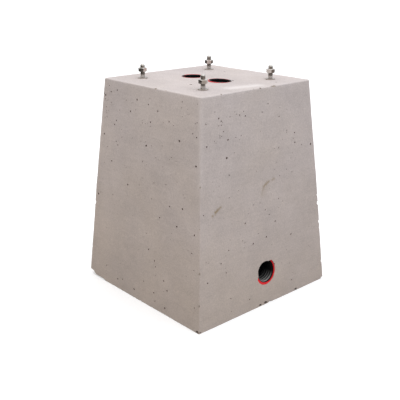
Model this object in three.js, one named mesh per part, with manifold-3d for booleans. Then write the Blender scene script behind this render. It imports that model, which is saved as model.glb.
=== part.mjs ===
// Precast concrete foundation block for a lighting column: a tapered block with two cable
// conduits cast in and four threaded anchor studs standing on its top.
// Millimetres, +Z up. The origin is the middle of the underside. The side mouth of the front
// conduit faces +X.

import * as THREE from 'three';
import { mergeVertices } from 'three/addons/utils/BufferGeometryUtils.js';
import Module from 'manifold-3d';

const wasm = await Module();
wasm.setup();

// Block
const TOP_SIDE = 360;
const BASE_SIDE = 447;
const BLOCK_HEIGHT = 532;
const BATTER = (BASE_SIDE - TOP_SIDE) / 2 / BLOCK_HEIGHT;

// The upright arrises are sharp up to the wear height, and worn round from there to the top.
const LOW_CORNER_RADIUS = 1.5;
const TOP_CORNER_RADIUS = 8;
const WEAR_HEIGHT = 266;
const BASE_ARRIS = 1;
const TOP_ARRIS = 3;

// Conduits: double-wall pipe of 63 mm outside diameter
const CONDUIT_OUTER_RADIUS = 31.5;
const CONDUIT_INNER_RADIUS = 26;
const CONDUIT_OFFSET = 49;
const CONDUIT_PROUD = 2;
const BEND_RADIUS = 150;
const MOUTH_HEIGHT = 84;
const MOUTH_TURN = THREE.MathUtils.degToRad(1);
const MOUTH_SETBACK = 1;

// M12 hardware
const STUD_SPACING = 222;
const STUD_RADIUS = 6;
const STUD_EMBEDDED = 120;
const STUD_TIP_CHAMFER = 1.5;
const NUT_ACROSS_FLATS = 19;
const NUT_HEIGHT = 10;
const NUT_CHAMFER_ANGLE = THREE.MathUtils.degToRad(30);
const NUT_FACE_RATIO = 0.95;
const WASHER_OUTER_RADIUS = 12;
const WASHER_INNER_RADIUS = 6.5;
const WASHER_THICKNESS = 2.5;

// Clearance between pieces that fit into each other
const GAP = 0.3;

// How finely round shapes are divided
const PIPE_SIDES = 24;
const PIPE_STEPS = 20;
const ROUND_SIDES = 24;
const CORNER_STEPS = 3;
const ARRIS_STEPS = 3;

// Each stud's corner, its height over the top, its nut's height over the top, and the
// direction that one flat of the nut faces, in degrees from +X.
const STUDS = [
  { name: 'front', side: [1, -1], tip: 35, nutSeat: 13.5, flatFaces: -27 },
  { name: 'left', side: [-1, -1], tip: 35, nutSeat: 16, flatFaces: -57 },
  { name: 'right', side: [1, 1], tip: 35, nutSeat: 15.5, flatFaces: -66 },
  { name: 'rear', side: [-1, 1], tip: 37, nutSeat: 15.5, flatFaces: -43 },
];

// Broken places on the arrises: the middle of each break and its reach along X, Y and Z.
const NOTCH_HEIGHT = 205;
const NOTCH_OUT = BASE_SIDE / 2 - BATTER * NOTCH_HEIGHT;
const CHIPS = [
  { at: [-BASE_SIDE / 2, -BASE_SIDE / 2, 0], reach: [30, 30, 13] },
  { at: [-BASE_SIDE / 2 + 42, -BASE_SIDE / 2, 0], reach: [30, 9, 5] },
  { at: [-NOTCH_OUT, -NOTCH_OUT, NOTCH_HEIGHT], reach: [4, 4, 5] },
];

const concrete = new THREE.MeshStandardMaterial({ color: 0xb0a7a2, roughness: 0.9, metalness: 0 });
const redPlastic = new THREE.MeshStandardMaterial({ color: 0xc41f2b, roughness: 0.45, metalness: 0 });
const stainless = new THREE.MeshStandardMaterial({ color: 0xb9b3a8, roughness: 0.35, metalness: 1 });

// Closed geometry to a solid that can be joined and cut.
function toSolid(geometry) {
  const bare = geometry.clone();
  bare.deleteAttribute('normal');
  bare.deleteAttribute('uv');
  const merged = mergeVertices(bare, 1e-4);
  const vertProperties = new Float32Array(merged.attributes.position.array);
  const triVerts = new Uint32Array(merged.index.array);
  return new wasm.Manifold(new wasm.Mesh({ numProp: 3, vertProperties, triVerts }));
}

// A cut solid back to geometry.
function toGeometry(solid) {
  const mesh = solid.getMesh();
  const geometry = new THREE.BufferGeometry();
  geometry.setAttribute('position', new THREE.BufferAttribute(mesh.vertProperties, 3));
  geometry.setIndex(new THREE.BufferAttribute(mesh.triVerts, 1));
  geometry.computeVertexNormals();
  return geometry;
}

function namedMesh(name, geometry, material) {
  const mesh = new THREE.Mesh(geometry, material);
  mesh.name = name;
  return mesh;
}

function roundedSquare(side, radius) {
  const flat = side / 2 - radius;
  const shape = new THREE.Shape();
  for (let corner = 0; corner < 4; corner += 1) {
    const start = (corner * Math.PI) / 2;
    const middle = start + Math.PI / 4;
    const x = Math.SQRT2 * flat * Math.cos(middle);
    const y = Math.SQRT2 * flat * Math.sin(middle);
    shape.absarc(x, y, radius, start, start + Math.PI / 2);
  }
  return shape;
}

function disc(outerRadius, innerRadius = 0) {
  const shape = new THREE.Shape().absarc(0, 0, outerRadius, 0, 2 * Math.PI);
  if (innerRadius > 0) {
    shape.holes.push(new THREE.Path().absarc(0, 0, innerRadius, 0, 2 * Math.PI, true));
  }
  return shape;
}

// Quarter bend that leaves its start straight down and ends level, heading outwards.
class QuarterBend extends THREE.Curve {
  constructor(start, outwards, radius) {
    super();
    this.start = start;
    this.outwards = outwards;
    this.radius = radius;
  }

  getPoint(t, target = new THREE.Vector3()) {
    const angle = (t * Math.PI) / 2;
    target.copy(this.start);
    target.addScaledVector(this.outwards, this.radius * (1 - Math.cos(angle)));
    target.z -= this.radius * Math.sin(angle);
    return target;
  }
}

// Centre line of a conduit, from its rim over the top to outside the side face.
function conduitPath(side) {
  const outwards = new THREE.Vector3(side * Math.cos(MOUTH_TURN), side * Math.sin(MOUTH_TURN), 0);
  const top = new THREE.Vector3(side * CONDUIT_OFFSET, 0, BLOCK_HEIGHT + CONDUIT_PROUD);
  const bendStart = new THREE.Vector3(top.x, 0, MOUTH_HEIGHT + BEND_RADIUS);
  const bend = new QuarterBend(bendStart, outwards, BEND_RADIUS);
  const bendEnd = bend.getPoint(1);
  const outside = bendEnd.clone().addScaledVector(outwards, BASE_SIDE / 2 - BEND_RADIUS);
  const path = new THREE.CurvePath();
  path.add(new THREE.LineCurve3(top, bendStart));
  path.add(bend);
  path.add(new THREE.LineCurve3(bendEnd, outside));
  return path;
}

function pipe(section, path) {
  const geometry = new THREE.ExtrudeGeometry(section, {
    extrudePath: path,
    steps: PIPE_STEPS,
    curveSegments: PIPE_SIDES / 2,
    bevelEnabled: false,
  });
  return toSolid(geometry);
}

// Everything outside the sloping side face, less a setback.
function outsideOfFace(side) {
  const box = new THREE.BoxGeometry(BASE_SIDE, 2 * BASE_SIDE, 3 * BLOCK_HEIGHT);
  box.translate(BASE_SIDE / 2, 0, 0);
  box.rotateY(-Math.atan(BATTER));
  box.translate(BASE_SIDE / 2 - MOUTH_SETBACK, 0, 0);
  if (side < 0) box.rotateZ(Math.PI);
  return toSolid(box);
}

function buildConduit(side) {
  const section = disc(CONDUIT_OUTER_RADIUS, CONDUIT_INNER_RADIUS);
  return toGeometry(pipe(section, conduitPath(side)).subtract(outsideOfFace(side)));
}

// Points of the block's outline at a height, drawn in from the faces by an inset.
function outline(height, inset, radius) {
  const side = BASE_SIDE - 2 * BATTER * height - 2 * inset;
  return roundedSquare(side, radius).getPoints(CORNER_STEPS).map(({ x, y }) => [x, y, height]);
}

function taperedBlock() {
  const points = [
    ...outline(0, BASE_ARRIS, LOW_CORNER_RADIUS),
    ...outline(BASE_ARRIS, 0, LOW_CORNER_RADIUS),
    ...outline(WEAR_HEIGHT, 0, LOW_CORNER_RADIUS),
  ];
  for (let step = 0; step <= ARRIS_STEPS; step += 1) {
    const angle = (step / ARRIS_STEPS) * (Math.PI / 2);
    const inset = TOP_ARRIS * (1 - Math.cos(angle));
    const height = BLOCK_HEIGHT - TOP_ARRIS * (1 - Math.sin(angle));
    points.push(...outline(height, inset, TOP_CORNER_RADIUS - inset));
  }
  return wasm.Manifold.hull(points);
}

function chip({ at, reach }) {
  const lump = new THREE.IcosahedronGeometry(1, 2);
  lump.scale(...reach);
  lump.translate(...at);
  return toSolid(lump);
}

function studPlace(stud) {
  return stud.side.map((sign) => (sign * STUD_SPACING) / 2);
}

function studHole(stud) {
  const [x, y] = studPlace(stud);
  const depth = STUD_EMBEDDED + GAP;
  const hole = new THREE.CylinderGeometry(STUD_RADIUS + GAP, STUD_RADIUS + GAP, 2 * depth, ROUND_SIDES);
  hole.rotateX(Math.PI / 2);
  hole.translate(x, y, BLOCK_HEIGHT);
  return toSolid(hole);
}

function buildBlock() {
  let block = taperedBlock();
  for (const side of [1, -1]) {
    block = block.subtract(pipe(disc(CONDUIT_OUTER_RADIUS + GAP), conduitPath(side)));
  }
  for (const stud of STUDS) block = block.subtract(studHole(stud));
  for (const broken of CHIPS) block = block.subtract(chip(broken));
  return toGeometry(block);
}

function buildStud(tip) {
  const profile = [
    [0, -STUD_EMBEDDED],
    [STUD_RADIUS, -STUD_EMBEDDED],
    [STUD_RADIUS, tip - STUD_TIP_CHAMFER],
    [STUD_RADIUS - STUD_TIP_CHAMFER, tip],
    [0, tip],
  ];
  const points = profile.map(([radius, height]) => new THREE.Vector2(radius, height));
  return new THREE.LatheGeometry(points, ROUND_SIDES).rotateX(Math.PI / 2);
}

// Hexagon nut with both ends chamfered to a cone.
function buildNut() {
  const cornerRadius = NUT_ACROSS_FLATS / 2 / Math.cos(Math.PI / 6);
  const hexagon = new THREE.Shape();
  for (let corner = 0; corner < 6; corner += 1) {
    const angle = Math.PI / 6 + (corner * Math.PI) / 3;
    const point = [cornerRadius * Math.cos(angle), cornerRadius * Math.sin(angle)];
    if (corner === 0) hexagon.moveTo(...point);
    else hexagon.lineTo(...point);
  }
  hexagon.holes.push(new THREE.Path().absarc(0, 0, STUD_RADIUS + GAP, 0, 2 * Math.PI, true));
  const blank = new THREE.ExtrudeGeometry(hexagon, {
    depth: NUT_HEIGHT,
    curveSegments: ROUND_SIDES / 2,
    bevelEnabled: false,
  });

  const faceRadius = (NUT_FACE_RATIO * NUT_ACROSS_FLATS) / 2;
  const coneRadius = cornerRadius + 1;
  const coneHeight = (coneRadius - faceRadius) * Math.tan(NUT_CHAMFER_ANGLE);
  const profile = [
    [0, 0],
    [faceRadius, 0],
    [coneRadius, coneHeight],
    [coneRadius, NUT_HEIGHT - coneHeight],
    [faceRadius, NUT_HEIGHT],
    [0, NUT_HEIGHT],
  ];
  const points = profile.map(([radius, height]) => new THREE.Vector2(radius, height));
  const cone = new THREE.LatheGeometry(points, ROUND_SIDES).rotateX(Math.PI / 2);
  return toGeometry(toSolid(blank).intersect(toSolid(cone)));
}

function buildWasher() {
  return new THREE.ExtrudeGeometry(disc(WASHER_OUTER_RADIUS, WASHER_INNER_RADIUS), {
    depth: WASHER_THICKNESS,
    curveSegments: ROUND_SIDES / 2,
    bevelEnabled: false,
  });
}

// One stud with its nut and washer, in a group that stands on the block's top.
function buildAnchor(stud) {
  const anchor = new THREE.Group();
  const [x, y] = studPlace(stud);
  anchor.position.set(x, y, BLOCK_HEIGHT);

  const rod = namedMesh(`anchor_stud_${stud.name}`, buildStud(stud.tip), stainless);
  const nut = namedMesh(`hex_nut_${stud.name}`, buildNut(), stainless);
  const washer = namedMesh(`flat_washer_${stud.name}`, buildWasher(), stainless);
  nut.position.z = stud.nutSeat;
  nut.rotation.z = THREE.MathUtils.degToRad(stud.flatFaces);
  anchor.add(rod, nut, washer);
  return anchor;
}

const foundation = new THREE.Group();
foundation.add(namedMesh('concrete_block', buildBlock(), concrete));
foundation.add(namedMesh('cable_conduit_front', buildConduit(1), redPlastic));
foundation.add(namedMesh('cable_conduit_rear', buildConduit(-1), redPlastic));
for (const stud of STUDS) foundation.add(buildAnchor(stud));

export default foundation;
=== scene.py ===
import math
import random
from collections import namedtuple

import bmesh
import bpy
from mathutils import Matrix, Vector, noise


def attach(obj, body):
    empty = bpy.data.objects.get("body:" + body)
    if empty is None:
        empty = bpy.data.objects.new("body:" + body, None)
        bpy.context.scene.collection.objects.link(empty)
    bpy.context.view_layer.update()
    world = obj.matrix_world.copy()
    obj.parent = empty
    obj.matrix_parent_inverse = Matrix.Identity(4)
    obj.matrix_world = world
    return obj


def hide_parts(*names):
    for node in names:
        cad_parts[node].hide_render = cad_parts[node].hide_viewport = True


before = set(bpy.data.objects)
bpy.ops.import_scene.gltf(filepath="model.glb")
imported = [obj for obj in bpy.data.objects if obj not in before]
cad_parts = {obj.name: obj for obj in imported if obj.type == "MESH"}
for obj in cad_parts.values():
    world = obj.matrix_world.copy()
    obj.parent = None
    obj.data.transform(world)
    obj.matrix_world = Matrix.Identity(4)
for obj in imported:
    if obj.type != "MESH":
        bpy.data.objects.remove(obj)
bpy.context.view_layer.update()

MM = 0.001
UP = Vector((0, 0, 1))
FULL_TURN = 2 * math.pi
HAIR = 0.01 * MM
FINE_WELD = 0.001 * MM

# Block, as in the solids
TOP_SIDE = 360 * MM
BASE_SIDE = 447 * MM
BLOCK_HEIGHT = 532 * MM
BATTER = (BASE_SIDE - TOP_SIDE) / 2 / BLOCK_HEIGHT
LOW_CORNER_RADIUS = 1.5 * MM
TOP_CORNER_RADIUS = 8 * MM
CORNER_SEGMENTS = 6
WEAR_HEIGHT = 266 * MM
TOP_ARRIS = 3 * MM
TOP_ARRIS_SEGMENTS = 4
BASE_ARRIS = 1 * MM
BASE_ARRIS_SEGMENTS = 2

# Unevenness of the cast faces and arrises
SLICE = 11 * MM
SLICE_SNAP = 0.05 * MM
SLICE_WELD = 0.2 * MM
ARRIS_BAND = 5 * MM
CAST_WAVE = 0.4 * MM
CAST_WAVE_LENGTH = 60 * MM
ARRIS_WEAR = 0.45 * MM
ARRIS_WEAR_LENGTH = 9 * MM

# Conduits, as in the solids, with the double wall that the solids leave out
PIPE_RADIUS = 31.5 * MM
PIPE_VALLEY_RADIUS = 28.6 * MM
PIPE_FLARE_RADIUS = 32.7 * MM
PIPE_SKIN = 1.2 * MM
PIPE_TOP_CUFF = 6 * MM
PIPE_MOUTH_CREST = 5.5 * MM
PIPE_FLANK = 1.1 * MM
PIPE_PITCH = 6.4 * MM
# One rib of the skin: radius, and part of the pitch
PIPE_RIB = [(PIPE_VALLEY_RADIUS, 0), (PIPE_RADIUS, 0.16), (PIPE_RADIUS, 0.56), (PIPE_VALLEY_RADIUS, 0.72)]
PIPE_LINER_RADIUS = 27 * MM
PIPE_LINER_RECESS = 0.6 * MM
PIPE_BORE_RADIUS = 26 * MM
PIPE_BORE_RIPPLE = 1.8 * MM
PIPE_RIPPLE_STEPS = 6
PIPE_SIDES = 64

# Route of the conduits
PIPE_OFFSET = 49 * MM
PIPE_PROUD = 2 * MM
BEND_RADIUS = 150 * MM
BEND_LENGTH = BEND_RADIUS * math.pi / 2
MOUTH_HEIGHT = 84 * MM
MOUTH_REACH = BASE_SIDE / 2 - BATTER * MOUTH_HEIGHT
MOUTH_TURN = math.radians(1.25)
MOUTH_SETBACK = 0.6 * MM
RIM_HEIGHT = BLOCK_HEIGHT + PIPE_PROUD
BEND_START_HEIGHT = MOUTH_HEIGHT + BEND_RADIUS
DROP = RIM_HEIGHT - BEND_START_HEIGHT
STRAIGHT_END = MOUTH_REACH - MOUTH_SETBACK - PIPE_OFFSET - BEND_RADIUS
PIPE_LENGTH = DROP + BEND_LENGTH + STRAIGHT_END
PIPE_LOW_END = RIM_HEIGHT - PIPE_LENGTH

# Gap between the two walls at the mouth: where it is shut and wide, across the upright pipe in radii
GROOVE_RADIUS = 29.7 * MM
GROOVE_DEPTH = 1.2 * MM
GROOVE_SNAP = 0.1 * MM
GROOVE_SHUT_AT = -0.35
GROOVE_WIDE_AT = 0.55

# Film of cement on the ripples near the mouth, with a painted highlight on their lit side, and the dark
# worn place on the rim
PIPE_FILM_AND_SHEEN = 0.9
PIPE_FILM_AND_SHEEN_REACH = 30 * MM
PIPE_FILM_AND_SHEEN_WAY = Vector((-0.98, -0.2))
RIM_WEAR_WAY = Vector((0.67, 0.74))
RIM_WEAR_REACH = 0.8
RIM_WEAR_DEPTH = 1 * MM

# The rim stands proud by high_by on the side high_towards, and by low_by on the other
Conduit = namedtuple("Conduit", "name side high_towards high_by low_by top_recess")
CONDUITS = [
    Conduit("front", 1, (-0.9, -0.43), 2.6 * MM, -0.1 * MM, 0),
    Conduit("rear", -1, (-0.95, 0.31), 0.9 * MM, 0.4 * MM, 0.7 * MM),
]

# M12 hardware, as in the solids, with its thread
STUD_SPACING = 222 * MM
STUD_RADIUS = 6 * MM
STUD_EMBEDDED = 120 * MM
SHANK_RADIUS = STUD_RADIUS - 0.2 * MM
TIP_DOME_RADIUS = 6.6 * MM
TIP_DOME_ANGLE = math.radians(70)
TIP_STEPS = 10
THREAD_PITCH = 1.75 * MM
THREAD_ROOT = STUD_RADIUS - 1.05 * MM
# One turn of the thread: radius, and part of the pitch
THREAD_TURN = [(THREAD_ROOT, 0), (THREAD_ROOT, 0.12), (STUD_RADIUS, 0.46), (STUD_RADIUS, 0.66),
               (THREAD_ROOT, 1)]
THREAD_BELOW_TOP = 8 * MM
THREAD_OVERLAP = 0.5 * MM
THREAD_STEPS = 28
NUT_ACROSS_FLATS = 19 * MM
NUT_HEIGHT = 10 * MM
NUT_CHAMFER_ANGLE = math.radians(30)
NUT_FACE_RATIO = 0.88
NUT_COUNTERSINK = 0.8 * MM
WASHER_OUTER_RADIUS = 12 * MM
WASHER_INNER_RADIUS = 6.5 * MM
WASHER_THICKNESS = 2.5 * MM
WASHER_EDGE = 0.5 * MM
WASHER_EDGE_SEGMENTS = 3
GAP = 0.3 * MM
ROUND_SIDES = 48

# Corner of the block, tip and nut heights over its top, and the way one flat of the nut faces
Stud = namedtuple("Stud", "name corner tip nut_seat flat")
STUDS = [
    Stud("front", (1, -1), 35 * MM, 13.5 * MM, math.radians(-27)),
    Stud("left", (-1, -1), 35 * MM, 16 * MM, math.radians(-57)),
    Stud("right", (1, 1), 35 * MM, 15.5 * MM, math.radians(-66)),
    Stud("rear", (-1, 1), 37 * MM, 15.5 * MM, math.radians(-43)),
]

# Cement round the conduits' ends
TOP_LIP = 1.2 * MM
MOUTH_LEAN_ZONE = 12 * MM
MOUTH_END_TILT = 1.7 * MM
FULL_LIP = 3 * MM
LIP_JAG = 1 * MM
BARE_EDGE_JAG = 0.2
# Waves round a ragged edge, and their share of its jags
JAG_WAVES = [(6, 0.6), (17, 0.4)]
# Lips of cement that hang over the pipes: degrees round the opening, and reach in millimetres
MOUTH_LIPS = {
    1: [(51, 0), (67, 5.4), (84, 5.4), (102, 4.1), (145, 3.1), (182, 5.2), (192, 4.8), (201, 0)],
    -1: [(195, 0), (204, 1.5), (286, 1.5), (295, 0)],
}
OPENING_DEPTH = 12 * MM
BORE_SLICES = 40

# Side faces and their way out
FACE_DIRECTIONS = {
    "mouth": Vector((1, 0, 0)),
    "plain": Vector((0, -1, 0)),
    "rear_mouth": Vector((-1, 0, 0)),
    "rear_plain": Vector((0, 1, 0)),
}

# Air holes seen in the photograph: place across the face, height and width, in millimetres
MOUTH_FACE_HOLES = [
    (27, 493, 4), (-49, 475, 5), (-54, 486, 3.5), (6, 476, 4), (64, 458, 4.5), (-131, 481, 5),
    (-124, 474, 4.5), (-124, 465, 3.5), (-169, 474, 4), (-106, 430, 5), (-170, 425, 5),
    (-112, 390, 6.5), (-107, 350, 4), (118, 411, 5), (113, 398, 3), (119, 387, 5), (143, 377, 4),
    (178, 373, 7), (-110, 298, 3), (55, 259, 3.5), (7, 242, 4), (20, 227, 3.5), (-32, 263, 3),
    (-190, 275, 3.5), (-62, 225, 5), (41, 205, 4.5), (8, 173, 5), (-38, 168, 5.5), (98, 157, 5.5),
    (-119, 174, 4.5), (-145, 149, 4.5), (-130, 122, 4), (-189, 115, 4.5), (-119, 54, 4.5),
    (96, 34, 4.5), (-57, 31, 4), (34.5, 96, 4),
]
PLAIN_FACE_HOLES = [
    (-41, 497, 5.5), (-64, 466, 5), (39, 482, 4.5), (14, 453, 5), (80, 465, 4), (-121, 435, 4.5),
    (-128, 424, 4.5), (-172, 393, 5.5), (1, 395, 6), (119, 428, 6), (178, 383, 6), (-120, 383, 4),
    (-113, 375, 3.5), (-137, 330, 4.5), (-11, 354, 3), (-66, 285, 6), (-192, 231, 6.5),
    (-147, 502, 5), (3, 492, 3.5), (-178, 495, 8), (-170, 491, 6), (-121, 509, 4), (-171, 481, 4),
    (-164, 462, 3), (-155, 455, 3), (-110, 462, 3), (-83, 490, 3), (-159, 438, 3), (-18, 452, 2.5),
    (-17, 446, 3), (-157, 363, 3), (-168, 320, 3), (39, 374, 2.5), (-7, 315, 2.5), (36, 313, 3.5),
    (80, 319, 3.5), (-182, 238, 3), (-128, 244, 3), (97, 459, 3), (162, 452, 3.5), (175, 446, 4),
    (97, 271, 5), (142, 277, 5.5), (63, 235, 4.5), (126, 231, 5.5), (187, 228, 5), (17, 183, 3),
    (27, 145, 5), (51, 123, 4.5), (56, 109, 4), (182, 184, 4), (-147, 46, 4.5), (-96, 25, 5),
    (-75, 31, 4), (13, 57, 4), (89, 84, 5), (-25, 22, 5.5), (54, 41, 4.5), (103, 64, 5),
    (60, 21, 4), (98, 17, 6), (202, 58, 3.5),
]
# The same on the top: places along X and Y, and width
TOP_HOLES = [(41, -86, 7), (150, 89, 5), (65, 28, 5.5), (-59, 119, 5)]
MOUTH_FACE_WIDTH_FACTOR = 0.8
PLAIN_FACE_WIDTH_FACTOR = 0.9

# Scattered air holes: face, and number of small and of large ones; the rest is in millimetres
SCATTERED_HOLES = [("mouth", 70, 0), ("plain", 70, 0), ("rear_mouth", 70, 28), ("rear_plain", 70, 28)]
SMALL_HOLE_WIDTHS = (1.2, 2.4)
LARGE_HOLE_WIDTHS = (2.5, 6)
SCATTER_HEIGHTS = (15, 515)
SCATTER_MARGIN = 18
MOUTH_CLEARANCE = 42
# Patches of pinholes: face, their reach across and up in millimetres, and their number
PINHOLE_PATCHES = [
    ("plain", (-176, -138), (430, 520), 14),
    ("plain", (-100, 100), (330, 485), 14),
    ("plain", (120, 174), (440, 520), 8),
    ("mouth", (-166, -60), (420, 500), 16),
    ("mouth", (40, 150), (300, 430), 10),
]
PINHOLE_WIDTHS = (1.6, 2.8)

# Shape of an air hole, in parts of half its width
HOLE_TURNS = (0, 6.28)
HOLE_LENGTHS = (1.0, 1.25)
HOLE_BREADTHS = (0.85, 1.05)
HOLE_DEPTH = 1.1
HOLE_SINK = 0.35
HOLE_ROUGHNESS = 0.25
HOLE_SPREAD = 1.3
HOLE_SPACING = 1.5 * MM

# Broken places on the arrises: middle, and reach along X, Y and Z, in millimetres
CHIPS = [
    ((-223.5, -223.5, 0), (30, 30, 12)),
    ((-206.7, -206.7, 205), (4, 4, 5)),
    ((223.5, 15, 0), (4, 8, 3.6)),
    ((223.5, 223.5, 0), (9, 9, 5)),
    ((26, -180.5, 532), (5, 3.5, 3)),
    ((180.5, 48, 531.5), (3.5, 10, 2.5)),
    ((180.5, 3, 532), (3, 4, 2.5)),
    ((204.3, 204.3, 235), (3, 3, 3.5)),
    ((206, 206, 213), (4.5, 4.5, 6)),
    ((210.3, 210.3, 162), (4, 4, 5)),
    ((219.3, 219.3, 51), (3.5, 3.5, 5)),
]
LONG_CHIPS = [
    ((-181, -223.5, 0), (30, 9, 4.5)),
]
# Deeper pits at the foot, with painted shade in them
SHADED_FOOT_PITS = [
    ((217, -221.5, 3.6), (6.5, 7, 2.6)),
    ((221, -20, 4), (7, 5, 2.8)),
    ((221, -1.5, 4.4), (7, 7, 3.2)),
    ((221, 112.5, 3.8), (7, 4.5, 2.6)),
]
CHIP_ROUGHNESS = 0.5
CHIP_DETAIL = 3

# Little nicks along the arrises, in millimetres; along a level arris in parts of half its length
NICKS_PER_ARRIS = 5
NICK_CLEARANCE = 6
LEVEL_NICK_FIRST = -0.96875
LEVEL_NICK_STEP = 0.28125
LEVEL_NICK_ROOM = 0.21875
LEVEL_NICK_SIZES = (1.2, 2.6)
LEVEL_NICK_LENGTHS = (1, 1.8)
LEVEL_NICK_HEIGHT = 0.8
UPRIGHT_NICK_FIRST = 40
UPRIGHT_NICK_STEP = 66
UPRIGHT_NICK_ROOM = 40
UPRIGHT_NICK_SIZES = (1.2, 2.4)
UPRIGHT_NICK_LENGTHS = (1, 2)

# Uneven lumps that cut the holes and chips
LUMP_WAVES = 1.6
LUMP_CHANCE = 50

# Brown smears on the face with the conduit mouth: both ends, across and up, width, and strength
SMEARS = [
    ((41, 312), (34, 310), 5, 0.6),
    ((22, 309), (11, 304), 6, 0.75),
    ((11, 304), (5, 300), 6, 0.75),
    ((5, 300), (1.5, 292), 5.5, 0.5),
    ((1.5, 292), (-3, 281), 6, 0.35),
    ((9, 296), (4, 282), 16, 0.15),
    ((-137, 282), (-146, 278), 4.5, 0.75),
    ((-146, 278), (-154, 273.5), 6, 1),
    ((-155, 273), (-155.5, 268.5), 4.5, 0.5),
    ((-163, 267.5), (-163.5, 267), 5, 0.8),
]
# Pale scuff on the top: both ends, along X and Y, width, and strength
SCUFF = ((139, -52), (152, 20), 28, 0.7)

# Rubbed bands along the arrises, partly wear and partly a painted highlight where the arrises catch the
# light
UPRIGHT_RUB_AND_HIGHLIGHT = 14 * MM
UPRIGHT_RUB_AND_HIGHLIGHT_FULL_HEIGHT = BLOCK_HEIGHT * 0.75
TOP_RUB_AND_HIGHLIGHT = 14 * MM
RUB_AND_HIGHLIGHT_STRENGTH = 0.38

# Finish of the fasteners, with painted shade in the thread and a painted reflection low on the studs:
# heights over the block's top, from where it begins to where it is full
THREAD_SHADE_FADE = (24 * MM, 16 * MM)
FILM_AND_REFLECTION_FADE = (10.5 * MM, 7.5 * MM)
TIP_FADE = (31 * MM, 32.5 * MM)
WASHER_FADE = (4 * MM, 3 * MM)
FILM_AND_REFLECTION_STRENGTH = 0.8

# Colours of the finishes
# Painted shade towards the foot and painted light at the top of the block, for how the light falls
SHADED_FOOT_CONCRETE = (0.474, 0.406, 0.362, 1)
LIT_TOP_CONCRETE = (0.56, 0.5, 0.48, 1)
COOL_CONCRETE = (0.995, 1.0, 1.015, 1)
WARM_CONCRETE = (1.005, 1.0, 0.985, 1)
# Pale arris bands: wear, and a painted highlight
RUBBED_AND_HIGHLIT_CONCRETE = (0.67, 0.61, 0.59, 1)
BROWN_SMEAR = (0.3, 0.23, 0.145, 1)
PALE_SCUFF = (0.8, 0.75, 0.73, 1)
# Painted shade inside the air holes and the pits at the foot
HOLE_PAINTED_SHADE = (0.25, 0.2, 0.17, 1)
BROKEN_MORTAR = (0.4, 0.34, 0.29, 1)
# Cement dust, and the painted highlight on the bore's ripples
CEMENT_DUST_AND_SHEEN = (0.45, 0.44, 0.42, 1)
# Pale band low on the studs: cement film, and a painted reflection of the block's top
CEMENT_FILM_AND_REFLECTION = (0.66, 0.61, 0.58, 1)
RED_SKIN = (0.8, 0.01, 0.02, 1)
BLACK_LINER = (0.003, 0.003, 0.004, 1)
DARK_STEEL = (0.56, 0.52, 0.48, 1)
BRIGHT_STEEL = (0.74, 0.71, 0.67, 1)
TIP_STEEL = (0.54, 0.52, 0.49, 1)
WASHER_STEEL = (0.46, 0.41, 0.37, 1)
# Painted shade in the thread roots, strongest under the nuts
THREAD_PAINTED_SHADE = (0.09, 0.07, 0.045, 1)

# Pale floor, as seen, and the ground that light bounces off and steel mirrors instead
FLOOR_HALF_SIDE = 60
PALE_FLOOR = (0.8, 0.8, 0.8, 1)
FLOOR_GLOW = (0.3, 0.3, 0.3, 1)
BOUNCING_GROUND = (0.4, 0.37, 0.34, 1)
DARK_GROUND = (0.025, 0.02, 0.018, 1)
DULL_GROUND = (0.13, 0.1, 0.085, 1)
DULL_GROUND_WAY = (0.59, 0.81, 0)
BRIGHT_GROUND = (0.38, 0.335, 0.3, 1)
BRIGHT_GROUND_WAY = (0.92, -0.39, 0)
BLACK = (0, 0, 0, 1)
WHITE = (1, 1, 1, 1)

# Overcast light, tinted from the right to the left of the photograph
HORIZON_LIGHT = (0.6, 0.6, 0.6, 1)
ZENITH_LIGHT = (1.38, 1.35, 1.335, 1)
LEFT_WAY = (-0.67, -0.74, 0)
LEFT_TINT = (0.95, 0.945, 0.93, 1)
RIGHT_TINT = (1.18, 1.235, 1.31, 1)
SUN_LIGHT = 0.2
SUN_ANGLE = math.radians(50)
SUN_LEAN = (math.radians(4), math.radians(6), 0)

# Camera that fits the photograph's outline
PHOTO_SIDE = 400
FOCAL_PIXELS = 677.2
SENSOR_WIDTH = 36
CAMERA_PLACE = Vector((1235.6, -1128.3, 796.6)) * MM
CAMERA_AZIMUTH = math.radians(48.12)
CAMERA_ELEVATION = math.radians(19.15)
CAMERA_ROLL = math.radians(0.02)
VIEW_DISTANCE = 200


# Places on the block

def half_side(height):
    return BASE_SIDE / 2 - BATTER * height


def face_place(face, across, height):
    """Point on a side face and the way out of it; across and height are in millimetres."""
    outward = FACE_DIRECTIONS[face]
    along = Vector((1, 0, 0)) if abs(outward.y) > 0 else Vector((0, 1, 0))
    point = outward * half_side(height * MM) + along * across * MM + UP * height * MM
    return point, (outward + UP * BATTER).normalized()


def stud_place(corner):
    return Vector((corner[0] * STUD_SPACING / 2, corner[1] * STUD_SPACING / 2, BLOCK_HEIGHT))


# Mesh helpers

def new_piece(name, bm, materials):
    """Turn a bmesh into an object at the origin."""
    mesh = bpy.data.meshes.new(name)
    bm.to_mesh(mesh)
    bm.free()
    for material in materials:
        mesh.materials.append(material)
    piece = bpy.data.objects.new(name, mesh)
    bpy.context.scene.collection.objects.link(piece)
    return piece


def carve(piece, cutter_bm, operation="DIFFERENCE"):
    """Cut a closed shape out of a piece, join it on, or keep only what lies in it."""
    cutter = new_piece("cutter", cutter_bm, [])
    modifier = piece.modifiers.new("carve", "BOOLEAN")
    modifier.operation = operation
    modifier.solver = "MANIFOLD"
    modifier.material_mode = "INDEX"
    modifier.object = cutter
    graph = bpy.context.evaluated_depsgraph_get()
    carved = bpy.data.meshes.new_from_object(piece.evaluated_get(graph))
    piece.modifiers.clear()
    blank = piece.data
    piece.data = carved
    carved.name = piece.name
    bpy.data.meshes.remove(blank)
    bpy.data.meshes.remove(cutter.data)


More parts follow.
